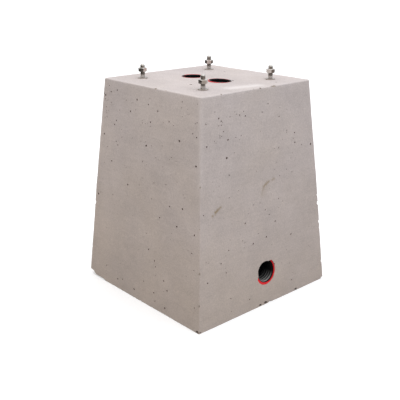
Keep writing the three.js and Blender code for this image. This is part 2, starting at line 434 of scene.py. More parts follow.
def finish_piece(piece, node, sharp_angle):
    """Shade a piece smooth up to its sharp edges and give it its node's place."""
    piece.data.shade_smooth()
    piece.data.set_sharp_from_angle(angle=sharp_angle)
    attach(piece, "root")
    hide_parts(node)


def join(whole, part):
    """Add one bmesh to another."""
    mesh = bpy.data.meshes.new("part")
    part.to_mesh(mesh)
    part.free()
    whole.from_mesh(mesh)
    bpy.data.meshes.remove(mesh)


def spin_profile(bm, points, closed, steps):
    """Turn a profile of (radius, height) points once round Z."""
    verts = [bm.verts.new((radius, 0, height)) for radius, height in points]
    edges = [bm.edges.new(pair) for pair in zip(verts, verts[1:])]
    if closed:
        edges.append(bm.edges.new((verts[-1], verts[0])))
    spin_round(bm, verts + edges, steps)


def spin_round(bm, section, steps):
    """Turn a section once round Z and close it."""
    bmesh.ops.spin(bm, geom=section, cent=(0, 0, 0), axis=UP, angle=FULL_TURN, steps=steps, use_merge=True)
    bmesh.ops.remove_doubles(bm, verts=bm.verts, dist=FINE_WELD)
    bmesh.ops.recalc_face_normals(bm, faces=bm.faces)


def cut_plane(bm, point, across, snap, clear_outer=False):
    """Divide a whole bmesh along a plane."""
    bmesh.ops.bisect_plane(bm, geom=bm.verts[:] + bm.edges[:] + bm.faces[:], plane_co=point,
                           plane_no=across, dist=snap, clear_outer=clear_outer)


def add_lump(bm, at, reach, turn, roughness, material_index, rng, detail=2):
    """A closed, uneven ball of the given reach, as a cutter."""
    lump = bmesh.ops.create_icosphere(bm, subdivisions=detail, radius=1)
    offset = Vector([rng.uniform(-LUMP_CHANCE, LUMP_CHANCE) for axis in "XYZ"])
    for vert in lump["verts"]:
        vert.co *= 1 + roughness * noise.noise(vert.co * LUMP_WAVES + offset)
    place = Matrix.Translation(at) @ turn.to_4x4() @ Matrix.Diagonal(reach).to_4x4()
    bmesh.ops.transform(bm, matrix=place, verts=lump["verts"])
    faces = {face for vert in lump["verts"] for face in vert.link_faces}
    for face in faces:
        face.material_index = material_index


# Node helpers

def new_material(name):
    material = bpy.data.materials.new(name)
    material.use_nodes = True
    return material, material.node_tree, material.node_tree.nodes["Principled BSDF"]


def add_node(tree, kind, inputs, **settings):
    node = tree.nodes.new(kind)
    for name, value in settings.items():
        setattr(node, name, value)
    for socket, value in inputs.items():
        if isinstance(value, bpy.types.NodeSocket):
            tree.links.new(value, node.inputs[socket])
        else:
            node.inputs[socket].default_value = value
    return node


def object_place(tree):
    return add_node(tree, "ShaderNodeTexCoord", {}).outputs["Object"]


def axis_parts(tree, place):
    return add_node(tree, "ShaderNodeSeparateXYZ", {0: place}).outputs


def cloud(tree, place, scale, detail, roughness):
    settings = {"Vector": place, "Scale": scale, "Detail": detail, "Roughness": roughness}
    return add_node(tree, "ShaderNodeTexNoise", settings).outputs[0]


def remap(tree, value, low, high, to_low=0.0, to_high=1.0):
    settings = {"Value": value, "From Min": low, "From Max": high, "To Min": to_low, "To Max": to_high}
    return add_node(tree, "ShaderNodeMapRange", settings).outputs["Result"]


def maths(tree, operation, first, second):
    return add_node(tree, "ShaderNodeMath", {0: first, 1: second}, operation=operation).outputs[0]


def vector_maths(tree, operation, first, second=(0, 0, 0)):
    return add_node(tree, "ShaderNodeVectorMath", {0: first, 1: second}, operation=operation).outputs


def mix_colour(tree, factor, first, second, blend="MIX"):
    node = add_node(tree, "ShaderNodeMix", {0: factor, 6: first, 7: second}, data_type="RGBA",
                    blend_type=blend)
    return node.outputs[2]


def add_bump(tree, shader, height, strength, distance):
    bump = add_node(tree, "ShaderNodeBump", {"Height": height, "Strength": strength, "Distance": distance})
    tree.links.new(bump.outputs[0], shader.inputs["Normal"])


def new_group(name, inputs, outputs):
    tree = bpy.data.node_groups.new(name, "ShaderNodeTree")
    for socket, kind in inputs:
        tree.interface.new_socket(socket, in_out="INPUT", socket_type=kind)
    for socket, kind in outputs:
        tree.interface.new_socket(socket, in_out="OUTPUT", socket_type=kind)
    return tree, tree.nodes.new("NodeGroupInput"), tree.nodes.new("NodeGroupOutput")


def place_group(tree, group, inputs):
    return add_node(tree, "ShaderNodeGroup", inputs, node_tree=group).outputs


# Effects that several finishes share

def make_cement_group():
    """Mottle, formwork streaks and sand grain of cast cement: a colour factor and a height."""
    tree, given, result = new_group(
        "cement_mottle",
        [("Place", "NodeSocketVector"), ("Contrast", "NodeSocketFloat")],
        [("Shade", "NodeSocketFloat"), ("Height", "NodeSocketFloat")],
    )
    place = given.outputs["Place"]
    broad = cloud(tree, place, scale=9, detail=3, roughness=0.55)
    patch = cloud(tree, place, scale=45, detail=4, roughness=0.6)
    grain = cloud(tree, place, scale=320, detail=3, roughness=0.65)
    level = vector_maths(tree, "MULTIPLY", place, (1, 1, 9))["Vector"]
    streak = cloud(tree, level, scale=14, detail=3, roughness=0.6)
    mottle = maths(tree, "ADD", remap(tree, broad, 0.3, 0.7, -0.55, 0.55),
                   remap(tree, patch, 0.3, 0.7, -0.3, 0.3))
    mottle = maths(tree, "ADD", mottle, remap(tree, grain, 0.25, 0.75, -1.5, 1.5))
    mottle = maths(tree, "ADD", mottle, remap(tree, streak, 0.3, 0.7, -0.3, 0.3))
    scaled = maths(tree, "MULTIPLY", mottle, given.outputs["Contrast"])
    tree.links.new(maths(tree, "ADD", scaled, 1.0), result.inputs["Shade"])
    height = maths(tree, "ADD", grain, maths(tree, "MULTIPLY", patch, 0.8))
    tree.links.new(height, result.inputs["Height"])
    return tree


def make_dust_group():
    """Patchy film of cement dust, as a mask."""
    tree, given, result = new_group(
        "cement_dust",
        [("Place", "NodeSocketVector"), ("Amount", "NodeSocketFloat")],
        [("Mask", "NodeSocketFloat")],
    )
    place = given.outputs["Place"]
    film_and_painted_light = maths(tree, "MULTIPLY", cloud(tree, place, scale=160, detail=3, roughness=0.6),
                 cloud(tree, place, scale=700, detail=2, roughness=0.5))
    mask = maths(tree, "MULTIPLY", remap(tree, film_and_painted_light, 0.12, 0.45), given.outputs["Amount"])
    tree.links.new(mask, result.inputs["Mask"])
    return tree


def make_smear_group():
    """Soft mask along a straight smear between two points."""
    tree, given, result = new_group(
        "smear",
        [("Place", "NodeSocketVector"), ("Start", "NodeSocketVector"), ("End", "NodeSocketVector"),
         ("Width", "NodeSocketFloat")],
        [("Mask", "NodeSocketFloat")],
    )
    along = vector_maths(tree, "SUBTRACT", given.outputs["End"], given.outputs["Start"])["Vector"]
    reach = vector_maths(tree, "SUBTRACT", given.outputs["Place"], given.outputs["Start"])["Vector"]
    part = maths(tree, "DIVIDE", vector_maths(tree, "DOT_PRODUCT", reach, along)["Value"],
                 vector_maths(tree, "DOT_PRODUCT", along, along)["Value"])
    part = add_node(tree, "ShaderNodeClamp", {"Value": part}).outputs[0]
    nearest = add_node(tree, "ShaderNodeVectorMath", {0: along, "Scale": part}, operation="SCALE").outputs
    distance = vector_maths(tree, "DISTANCE", reach, nearest["Vector"])["Value"]
    ragged = cloud(tree, given.outputs["Place"], scale=260, detail=3, roughness=0.6)
    distance = maths(tree, "MULTIPLY", distance, remap(tree, ragged, 0.3, 0.7, 0.5, 1.6))
    mask = remap(tree, distance, 0.0, given.outputs["Width"], 1.0, 0.0)
    tree.links.new(mask, result.inputs["Mask"])
    return tree


def make_arris_wear_and_highlight_group():
    """Pale bands along the upright arrises of the upper part and round the top: rubbed wear, and a painted
    highlight where the arrises catch the light.
    """
    tree, given, result = new_group("arris_wear_and_highlight", [("Place", "NodeSocketVector")],
                                    [("Mask", "NodeSocketFloat")])
    place = given.outputs["Place"]
    parts = axis_parts(tree, place)
    side = maths(tree, "SUBTRACT", BASE_SIDE / 2, maths(tree, "MULTIPLY", parts["Z"], BATTER))
    insets = [maths(tree, "SUBTRACT", side, maths(tree, "ABSOLUTE", parts[axis], 0.0)) for axis in "XY"]
    ragged = remap(tree, cloud(tree, place, scale=90, detail=3, roughness=0.6), 0.3, 0.7, 0.6, 1.5)
    upright = maths(tree, "MULTIPLY", maths(tree, "MAXIMUM", *insets), ragged)
    upright = maths(tree, "MULTIPLY", remap(tree, upright, 0.0, UPRIGHT_RUB_AND_HIGHLIGHT, 1.0, 0.0),
                    remap(tree, parts["Z"], WEAR_HEIGHT, UPRIGHT_RUB_AND_HIGHLIGHT_FULL_HEIGHT))
    rim = maths(tree, "MULTIPLY", maths(tree, "MINIMUM", *insets), ragged)
    rim = maths(tree, "MULTIPLY", remap(tree, rim, 0.0, TOP_RUB_AND_HIGHLIGHT, 1.0, 0.0),
                remap(tree, parts["Z"], BLOCK_HEIGHT - TOP_ARRIS, BLOCK_HEIGHT - TOP_ARRIS / 3))
    tree.links.new(maths(tree, "MAXIMUM", upright, rim), result.inputs["Mask"])
    return tree


FILM_AND_SHEEN_NAME = "cement_film_and_sheen"
CEMENT = make_cement_group()
DUST = make_dust_group()
SMEAR = make_smear_group()
ARRIS_WEAR_AND_HIGHLIGHT = make_arris_wear_and_highlight_group()


# Finishes

def smear_mask(tree, place, start, end, width, strength):
    ends = {"Place": place, "Start": start, "End": end, "Width": width * MM}
    return maths(tree, "MULTIPLY", place_group(tree, SMEAR, ends)["Mask"], strength)


def top_point(x, y):
    """Point on the top, from millimetres."""
    return Vector((x, y, 0)) * MM + UP * BLOCK_HEIGHT


def make_concrete():
    material, tree, shader = new_material("cast_concrete")
    place = object_place(tree)
    cement = place_group(tree, CEMENT, {"Place": place, "Contrast": 0.1})
    # Painted shade: the concrete darkens towards the foot and lightens towards the top
    height = remap(tree, axis_parts(tree, place)["Z"], 0.0, BLOCK_HEIGHT)
    tone = mix_colour(tree, height, SHADED_FOOT_CONCRETE, LIT_TOP_CONCRETE)
    tone = mix_colour(tree, 1.0, tone, cement["Shade"], "MULTIPLY")
    warm = remap(tree, cloud(tree, place, scale=7, detail=3, roughness=0.55), 0.35, 0.65)
    hue = mix_colour(tree, warm, COOL_CONCRETE, WARM_CONCRETE)
    tone = mix_colour(tree, 1.0, tone, hue, "MULTIPLY")
    # Pale bands on the arrises: wear, and a painted highlight
    rubbed_and_highlit = place_group(tree, ARRIS_WEAR_AND_HIGHLIGHT, {"Place": place})["Mask"]
    tone = mix_colour(tree, maths(tree, "MULTIPLY", rubbed_and_highlit, RUB_AND_HIGHLIGHT_STRENGTH), tone, RUBBED_AND_HIGHLIT_CONCRETE)
    stain = 0.0
    for start, end, width, strength in SMEARS:
        ends = [face_place("mouth", *place_on_face)[0] for place_on_face in (start, end)]
        stain = maths(tree, "MAXIMUM", stain, smear_mask(tree, place, *ends, width, strength))
    tone = mix_colour(tree, stain, tone, BROWN_SMEAR)
    start, end, width, strength = SCUFF
    scuff = smear_mask(tree, place, top_point(*start), top_point(*end), width, strength)
    tone = mix_colour(tree, scuff, tone, PALE_SCUFF)
    tree.links.new(tone, shader.inputs["Base Color"])
    rough = remap(tree, cement["Height"], 0.4, 1.4, 0.8, 0.95)
    tree.links.new(rough, shader.inputs["Roughness"])
    shader.inputs["Specular IOR Level"].default_value = 0.3
    add_bump(tree, shader, cement["Height"], strength=0.35, distance=0.4 * MM)
    return material


def make_inner_concrete(name, base, contrast):
    """Rough concrete that the formwork never touched."""
    material, tree, shader = new_material(name)
    place = object_place(tree)
    cement = place_group(tree, CEMENT, {"Place": place, "Contrast": contrast})
    tone = mix_colour(tree, 1.0, base, cement["Shade"], "MULTIPLY")
    tree.links.new(tone, shader.inputs["Base Color"])
    rough = remap(tree, cement["Height"], 0.4, 1.4, 0.85, 1.0)
    tree.links.new(rough, shader.inputs["Roughness"])
    shader.inputs["Specular IOR Level"].default_value = 0.2
    return material, tree, shader, place


def make_hole_concrete():
    """Inside of the air holes, painted darker as shade in the hollows."""
    return make_inner_concrete("air_hole_concrete", HOLE_PAINTED_SHADE, 0.25)[0]


def make_broken_concrete():
    """Rough mortar where an arris has broken away."""
    material, tree, shader, place = make_inner_concrete("broken_concrete", BROKEN_MORTAR, 0.3)
    sand = cloud(tree, place, scale=300, detail=3, roughness=0.7)
    add_bump(tree, shader, sand, strength=0.8, distance=1.5 * MM)
    return material


def make_plastic(name, base, roughness, dust_amount, shine):
    material, tree, shader = new_material(name)
    place = object_place(tree)
    dust = place_group(tree, DUST, {"Place": place, "Amount": dust_amount})["Mask"]
    film_and_painted_light = add_node(tree, "ShaderNodeAttribute", {}, attribute_name=FILM_AND_SHEEN_NAME).outputs["Fac"]
    # Cement dust, and on the bore's ripples a cement film with a painted highlight on their lit side
    dust = maths(tree, "MAXIMUM", dust, film_and_painted_light)
    tree.links.new(mix_colour(tree, dust, base, CEMENT_DUST_AND_SHEEN), shader.inputs["Base Color"])
    tree.links.new(remap(tree, dust, 0.0, 0.6, roughness, 0.85), shader.inputs["Roughness"])
    scratches = cloud(tree, place, scale=500, detail=2, roughness=0.5)
    add_bump(tree, shader, scratches, strength=0.15, distance=0.2 * MM)
    shader.inputs["Specular IOR Level"].default_value = shine
    return material


def make_stainless():
    """Steel with painted shade in the thread roots, strongest under the nuts, and a pale band on the studs
    just over the block: a film of cement with a painted reflection of the block's top.
    """
    material, tree, shader = new_material("stainless_fasteners")
    place = object_place(tree)
    parts = axis_parts(tree, place)
    offsets = [maths(tree, "SUBTRACT", maths(tree, "ABSOLUTE", parts[axis], 0.0), STUD_SPACING / 2)
               for axis in "XY"]
    outwards = add_node(tree, "ShaderNodeCombineXYZ", {0: offsets[0], 1: offsets[1]}).outputs[0]
    from_axis = vector_maths(tree, "LENGTH", outwards)["Value"]

    def band(height, fade, to_low=0.0, to_high=1.0):
        return remap(tree, height, BLOCK_HEIGHT + fade[0], BLOCK_HEIGHT + fade[1], to_low, to_high)

    def round_axis(start, end):
        return remap(tree, from_axis, STUD_RADIUS + start * MM, STUD_RADIUS + end * MM)

    # Painted shade in the thread roots, strongest under the nut
    thread_shade = maths(tree, "MULTIPLY", round_axis(-0.1, -0.6), band(parts["Z"], THREAD_SHADE_FADE, 0.35, 1.0))
    # Pale band low on the rod: cement film, and a painted reflection of the block's top
    ragged = remap(tree, cloud(tree, place, scale=300, detail=2, roughness=0.5), 0.3, 0.7, -MM, MM)
    ragged_height = maths(tree, "ADD", parts["Z"], ragged)
    film_and_painted_light = maths(tree, "MULTIPLY", band(ragged_height, FILM_AND_REFLECTION_FADE), round_axis(0.2, 0.1))
    dust = place_group(tree, DUST, {"Place": place, "Amount": 0.1})["Mask"]
    film_and_painted_light = maths(tree, "MAXIMUM", maths(tree, "MULTIPLY", film_and_painted_light, FILM_AND_REFLECTION_STRENGTH), dust)
    tip = maths(tree, "MULTIPLY", band(parts["Z"], TIP_FADE), round_axis(0, -0.5))
    washer = maths(tree, "MULTIPLY", band(parts["Z"], WASHER_FADE), round_axis(0.2, 0.3))

    blotches = cloud(tree, place, scale=240, detail=3, roughness=0.6)
    tone = mix_colour(tree, blotches, DARK_STEEL, BRIGHT_STEEL)
    for mask, finish in ((thread_shade, THREAD_PAINTED_SHADE), (tip, TIP_STEEL), (washer, WASHER_STEEL),
                         (film_and_painted_light, CEMENT_FILM_AND_REFLECTION)):
        tone = mix_colour(tree, mask, tone, finish)
    tree.links.new(tone, shader.inputs["Base Color"])
    tree.links.new(remap(tree, film_and_painted_light, 0.0, 1.0, 1.0, 0.1), shader.inputs["Metallic"])
    rough = remap(tree, cloud(tree, place, scale=900, detail=2, roughness=0.5), 0.3, 0.7, 0.12, 0.22)
    rough = maths(tree, "MAXIMUM", rough, maths(tree, "MULTIPLY", film_and_painted_light, 0.7))
    tree.links.new(rough, shader.inputs["Roughness"])
    marks = cloud(tree, place, scale=1200, detail=2, roughness=0.5)
    add_bump(tree, shader, marks, strength=0.05, distance=0.05 * MM)
    return material


RED_PLASTIC = make_plastic("red_conduit_skin", RED_SKIN, roughness=0.4, dust_amount=0.08, shine=0.25)
BLACK_PLASTIC = make_plastic("black_conduit_bore", BLACK_LINER, roughness=0.3, dust_amount=0.01, shine=0.08)
STAINLESS = make_stainless()
BLOCK_MATERIALS = [make_concrete(), make_hole_concrete(), make_broken_concrete()]
HOLE_INDEX = 1
BROKEN_INDEX = 2
CONDUIT_MATERIALS = [RED_PLASTIC, BLACK_PLASTIC]
SKIN_INDEX = 0
LINER_INDEX = 1


# Block

def tapered_blank():
    """The cast shape, with all its upright arrises as round as at the top."""
    bm = bmesh.new()
    bmesh.ops.create_cube(bm, size=1)
    bmesh.ops.scale(bm, vec=(BASE_SIDE, BASE_SIDE, BLOCK_HEIGHT), verts=bm.verts)
    bmesh.ops.translate(bm, vec=UP * BLOCK_HEIGHT / 2, verts=bm.verts)
    top = [vert for vert in bm.verts if vert.co.z > BLOCK_HEIGHT / 2]
    bmesh.ops.scale(bm, vec=(TOP_SIDE / BASE_SIDE, TOP_SIDE / BASE_SIDE, 1), verts=top)
    uprights = [edge for edge in bm.edges if len({vert.co.z > MM for vert in edge.verts}) == 2]
    bmesh.ops.bevel(bm, geom=uprights, offset=TOP_CORNER_RADIUS, affect="EDGES", segments=CORNER_SEGMENTS,
                    profile=0.5, material=-1)
    for height, offset, segments in ((BLOCK_HEIGHT, TOP_ARRIS, TOP_ARRIS_SEGMENTS),
                                     (0, BASE_ARRIS, BASE_ARRIS_SEGMENTS)):
        rim = [edge for edge in bm.edges if all(abs(vert.co.z - height) < HAIR for vert in edge.verts)]
        bmesh.ops.bevel(bm, geom=rim, offset=offset, affect="EDGES", segments=segments, profile=0.5,
                        material=-1)
    return bm


def slice_block(bm):
    """Divide the long faces, so that they can be made slightly uneven."""
    half = BASE_SIDE / 2
    top_half = TOP_SIDE / 2 - TOP_ARRIS - ARRIS_BAND
    cuts = [(0, top_half), (0, -top_half), (1, top_half), (1, -top_half),
            (2, BLOCK_HEIGHT - TOP_ARRIS - ARRIS_BAND)]
    for axis, low, high in ((0, -half, half), (1, -half, half), (2, 0, BLOCK_HEIGHT)):
        count = round((high - low) / SLICE)
        cuts += [(axis, low + (high - low) * step / count) for step in range(1, count)]
    for axis, at in cuts:
        across = Vector((0, 0, 0))
        across[axis] = 1
        cut_plane(bm, across * at, across, SLICE_SNAP)
    bmesh.ops.remove_doubles(bm, verts=bm.verts, dist=SLICE_WELD)


def tighten_corners(bm):
    """Draw the round uprights out to the sharper arrises of the lower part."""
    for vert in bm.verts:
        worn = max((vert.co.z - WEAR_HEIGHT) / (BLOCK_HEIGHT - WEAR_HEIGHT), 0)
        radius = LOW_CORNER_RADIUS + (TOP_CORNER_RADIUS - LOW_CORNER_RADIUS) * worn
        side = half_side(vert.co.z)
        past = [abs(reach) - (side - TOP_CORNER_RADIUS) for reach in vert.co.xy]
        if min(past) < -HAIR:
            continue
        for axis in (0, 1):
            reach = side - radius + past[axis] * radius / TOP_CORNER_RADIUS
            vert.co[axis] = math.copysign(reach, vert.co[axis])


def roughen_block(bm):
    """Slight waves of the formwork, and worn arrises. The underside stays flat."""
    for vert in bm.verts:
        side = half_side(vert.co.z)
        near_sides = [side - abs(reach) < TOP_ARRIS for reach in vert.co.xy]
        near_ends = min(vert.co.z, BLOCK_HEIGHT - vert.co.z) < TOP_ARRIS
        shift = noise.noise_vector(vert.co / CAST_WAVE_LENGTH) * CAST_WAVE
        if sum(near_sides) + near_ends > 1:
            shift += noise.noise_vector(vert.co / ARRIS_WEAR_LENGTH) * ARRIS_WEAR
        on_ground = vert.co.z < HAIR
        vert.co += shift
        vert.co.z = 0 if on_ground else max(vert.co.z, 0)


def straight_bore():
    """Cutter for a conduit's bore before it is bent, from under the top to behind the side face."""
    bm = bmesh.new()
    high = BLOCK_HEIGHT - TOP_LIP
    depth = high - PIPE_LOW_END
    radius = PIPE_RADIUS + GAP
    bmesh.ops.create_cone(bm, cap_ends=True, segments=PIPE_SIDES, radius1=PIPE_FLARE_RADIUS + GAP,
                          radius2=radius, depth=depth)
    bmesh.ops.translate(bm, vec=UP * (high - depth / 2), verts=bm.verts)
    for step in range(BORE_SLICES):
        height = BEND_START_HEIGHT - BEND_LENGTH * step / (BORE_SLICES - 1)
        cut_plane(bm, UP * height, UP, FINE_WELD)
    for vert in bm.verts:
        if vert.co.z > PIPE_LOW_END + MM:
            vert.co.xy = vert.co.xy.normalized() * radius
    lean_to_face(bm)
    return bm


def lean_to_face(bm):
    """Slope the lower end of an upright pipe, so that it lies in the side face once it is bent, and a
    little deeper under the lip of cement."""
    for vert in bm.verts:
        lean = max(1 - (vert.co.z - PIPE_LOW_END) / MOUTH_LEAN_ZONE, 0)
        under_lip = 1 + (vert.co.x - vert.co.y) / math.sqrt(2) / PIPE_FLARE_RADIUS
        vert.co.z += lean * (BATTER * vert.co.x + MOUTH_END_TILT * under_lip)


def bend_to_route(bm, side):
    """Bend an upright pipe, whose outer side faces +X, along a conduit's route."""
    outwards = Vector((side * math.cos(MOUTH_TURN), side * math.sin(MOUTH_TURN), 0))
    sideways = UP.cross(outwards)
    start = Vector((side * PIPE_OFFSET, 0, 0))
    for vert in bm.verts:
        reach, across, height = vert.co
        past_start = BEND_START_HEIGHT - height
        angle = min(max(past_start / BEND_RADIUS, 0), math.pi / 2)
        past_end = max(past_start - BEND_LENGTH, 0)
        out = BEND_RADIUS * (1 - math.cos(angle)) + reach * math.cos(angle) + past_end
        if past_start > 0:
            height = BEND_START_HEIGHT - BEND_RADIUS * math.sin(angle) + reach * math.sin(angle)
        vert.co = start + outwards * out + sideways * across + UP * height


def lip_reach(lip, angle):
    """How far a lip of cement reaches in, at an angle round its opening."""
    turned = math.degrees(angle) % 360
    for (start, low), (end, high) in zip(lip, lip[1:]):
        if start <= turned < end:
            return (low + (high - low) * (turned - start) / (end - start)) * MM
    return 0


def ragged_opening(radius, lip, rng):
    """Cutter for an opening in the surface: a short round plug along Z, drawn in where a lip of
    cement hangs over the pipe."""
    bm = bmesh.new()
    bmesh.ops.create_cone(bm, cap_ends=True, segments=2 * PIPE_SIDES, radius1=radius, radius2=radius,
                          depth=OPENING_DEPTH)
    offset = Vector((rng.uniform(-LUMP_CHANCE, LUMP_CHANCE), rng.uniform(-LUMP_CHANCE, LUMP_CHANCE), 0))
    for vert in bm.verts:
        drawn_in = lip_reach(lip, math.atan2(vert.co.y, vert.co.x))
        covered = min(drawn_in / FULL_LIP, 1)
        around = Vector((vert.co.x, vert.co.y, 0)).normalized()
        jag = sum(noise.noise(around * waves + offset) * share for waves, share in JAG_WAVES)
        reach = radius + LIP_JAG * jag * (BARE_EDGE_JAG + covered) - drawn_in
        vert.co.xy = around.xy * reach
    return bm


def opening_cutter():
    """The two openings in the top and the two in the side faces."""
    rng = random.Random(19)
    joined = bmesh.new()
    for side in (1, -1):
        top = ragged_opening(PIPE_VALLEY_RADIUS + GAP, [], rng)
        bmesh.ops.translate(top, vec=Vector((side * PIPE_OFFSET, 0, BLOCK_HEIGHT)), verts=top.verts)
        mouth = ragged_opening(PIPE_FLARE_RADIUS + GAP, MOUTH_LIPS[side], rng)
        across = side * math.tan(MOUTH_TURN) * (MOUTH_REACH - PIPE_OFFSET)
        middle = Vector((side * MOUTH_REACH, across, MOUTH_HEIGHT))
        outwards = Vector((side, 0, BATTER)).normalized()
        sideways = Vector((0, side, 0))
        turn = Matrix((sideways, outwards.cross(sideways), outwards)).transposed()
        bmesh.ops.transform(mouth, matrix=Matrix.Translation(middle) @ turn.to_4x4(), verts=mouth.verts)
        join(joined, top)
        join(joined, mouth)
    return joined


def air_hole_cutter():
    """All air holes as one cutter: those seen in the photograph, and scattered ones."""
    rng = random.Random(41)
    bm = bmesh.new()
    taken = []

    def add_hole(point, outward, width):
        across = width * MM / 2
        turn = outward.to_track_quat("Z", "Y").to_matrix()
        turn = turn @ Matrix.Rotation(rng.uniform(*HOLE_TURNS), 3, "Z")
        reach = Vector((across * rng.uniform(*HOLE_LENGTHS), across * rng.uniform(*HOLE_BREADTHS),
                        across * HOLE_DEPTH))
        at = point - outward * across * HOLE_SINK
        add_lump(bm, at, reach, turn, HOLE_ROUGHNESS, HOLE_INDEX, rng)
        taken.append((point, across))

    def add_where_free(point, outward, width):
        clear = width * MM / 2 + HOLE_SPACING
        if all((point - other).length > across * HOLE_SPREAD + clear for other, across in taken):
            add_hole(point, outward, width)

    for face, holes, factor in (("mouth", MOUTH_FACE_HOLES, MOUTH_FACE_WIDTH_FACTOR),
                                ("plain", PLAIN_FACE_HOLES, PLAIN_FACE_WIDTH_FACTOR)):
        for across, height, width in holes:
            point, outward = face_place(face, across, height)
            add_hole(point, outward, width * factor)
    for x, y, width in TOP_HOLES:
        add_hole(top_point(x, y), UP, width)

    for face, small, large in SCATTERED_HOLES:
        for number in range(small + large):
            width = rng.uniform(*(SMALL_HOLE_WIDTHS if number < small else LARGE_HOLE_WIDTHS))
            height = rng.uniform(*SCATTER_HEIGHTS)
            limit = half_side(height * MM) / MM - SCATTER_MARGIN
            across = rng.uniform(-limit, limit)
            if max(abs(across), abs(height - MOUTH_HEIGHT / MM)) >= MOUTH_CLEARANCE:
                add_where_free(*face_place(face, across, height), width)
    for face, reach_across, reach_up, count in PINHOLE_PATCHES:
        for number in range(count):
            width = rng.uniform(*PINHOLE_WIDTHS)
            add_where_free(*face_place(face, rng.uniform(*reach_across), rng.uniform(*reach_up)), width)
    return bm


def chip_cutter(chips, rng, material_index=BROKEN_INDEX):
    bm = bmesh.new()
    for at, reach in chips:
        add_lump(bm, Vector(at) * MM, Vector(reach) * MM, Matrix.Identity(3), CHIP_ROUGHNESS,
                 material_index, rng, CHIP_DETAIL)
    return bm


def level_nicks(rng, height):
    """Nicks along the four level arrises at the foot or the top."""
    side = half_side(height * MM) / MM
    nicks = []
    for axis in (0, 1):
        for sign in (1, -1):
            for number in range(NICKS_PER_ARRIS):
                first = LEVEL_NICK_FIRST + LEVEL_NICK_STEP * number
                at = [0, 0, height]
                at[axis] = rng.uniform(first, first + LEVEL_NICK_ROOM) * side
                at[1 - axis] = sign * side
                size = rng.uniform(*LEVEL_NICK_SIZES)
                length = size * rng.uniform(*LEVEL_NICK_LENGTHS)
                nicks.append((at, (length, size, size * LEVEL_NICK_HEIGHT)))
    return nicks


def upright_nicks(rng):
    """Nicks along the four upright arrises."""
    nicks = []
    for x_sign, y_sign in ((1, 1), (1, -1), (-1, 1), (-1, -1)):
        for number in range(NICKS_PER_ARRIS):
            height = UPRIGHT_NICK_FIRST + UPRIGHT_NICK_STEP * number + rng.uniform(0, UPRIGHT_NICK_ROOM)
            side = half_side(height * MM) / MM
            size = rng.uniform(*UPRIGHT_NICK_SIZES)
            length = size * rng.uniform(*UPRIGHT_NICK_LENGTHS)
            nicks.append(((x_sign * side, y_sign * side, height), (size, size, length)))
    return nicks


def scattered_nicks(rng):
    """Little nicks along all the arrises, clear of the larger breaks."""
    nicks = level_nicks(rng, 0) + level_nicks(rng, round(BLOCK_HEIGHT / MM)) + upright_nicks(rng)
    breaks = CHIPS + LONG_CHIPS + SHADED_FOOT_PITS
    return [(at, reach) for at, reach in nicks
            if all((Vector(at) - Vector(other)).length > max(size) + NICK_CLEARANCE
                   for other, size in breaks)]


def build_block():
    bm = tapered_blank()
    slice_block(bm)
    tighten_corners(bm)
    roughen_block(bm)
    block = new_piece("cast_block", bm, BLOCK_MATERIALS)
    bores = bmesh.new()
    for side in (1, -1):
        bore = straight_bore()
        bend_to_route(bore, side)
        join(bores, bore)
    carve(block, bores)
    carve(block, opening_cutter())
    holes = bmesh.new()
    for stud in STUDS:
        bmesh.ops.create_cone(holes, cap_ends=True, segments=ROUND_SIDES, radius1=STUD_RADIUS + GAP,
                              radius2=STUD_RADIUS + GAP, depth=2 * (STUD_EMBEDDED + GAP),
                              matrix=Matrix.Translation(stud_place(stud.corner)))
    carve(block, holes)
    rng = random.Random(7)
    carve(block, chip_cutter(CHIPS, rng))
    carve(block, chip_cutter(LONG_CHIPS, rng))
    # These pits take the air holes' painted shade
    carve(block, chip_cutter(SHADED_FOOT_PITS, rng, HOLE_INDEX))
    carve(block, chip_cutter(scattered_nicks(rng), rng))
    carve(block, air_hole_cutter())
    finish_piece(block, "concrete_block", sharp_angle=math.radians(12))


# Conduits

def pipe_skin():
    """Corrugated outer wall, from the top down. It is cut in a valley at the top, and at a crest at
    the mouth."""
    corrugated = PIPE_LENGTH - PIPE_TOP_CUFF - PIPE_MOUTH_CREST
    ribs = round(corrugated / PIPE_PITCH)
    pitch = corrugated / ribs
    skin = [(PIPE_VALLEY_RADIUS, RIM_HEIGHT)]
    for rib in range(ribs):
        start = RIM_HEIGHT - PIPE_TOP_CUFF - rib * pitch
        skin += [(radius, start - part * pitch) for radius, part in PIPE_RIB]
    crest = PIPE_LOW_END + PIPE_MOUTH_CREST
    return skin + [(PIPE_VALLEY_RADIUS, crest), (PIPE_RADIUS, crest - PIPE_FLANK),
                   (PIPE_FLARE_RADIUS, PIPE_LOW_END)]


def pipe_bore(low, high):
    """Rippled inside of the liner, from the mouth up."""
    ripples = round((high - low) / PIPE_PITCH)
    step = (high - low) / ripples / PIPE_RIPPLE_STEPS
    bore = []
    for number in range(ripples * PIPE_RIPPLE_STEPS + 1):
        rise = 0.5 - 0.5 * math.cos(number / PIPE_RIPPLE_STEPS * 2 * math.pi)
        bore.append((PIPE_BORE_RADIUS - rise * PIPE_BORE_RIPPLE, low + number * step))
    return bore


def pipe_profile(top_recess):
    """Closed profile of the double wall, whose hollow is open at the mouth."""
    liner_end = PIPE_LOW_END + PIPE_LINER_RECESS
    liner_top = RIM_HEIGHT - top_recess
    groove_floor = PIPE_LOW_END + GROOVE_DEPTH
    groove = [(GROOVE_RADIUS, PIPE_LOW_END), (GROOVE_RADIUS, groove_floor),
              (PIPE_LINER_RADIUS, groove_floor), (PIPE_LINER_RADIUS, liner_end)]
    skin_inside = PIPE_VALLEY_RADIUS - PIPE_SKIN
    rim = [(skin_inside, liner_top), (skin_inside, RIM_HEIGHT)]
    return pipe_skin() + groove + pipe_bore(liner_end, liner_top) + rim


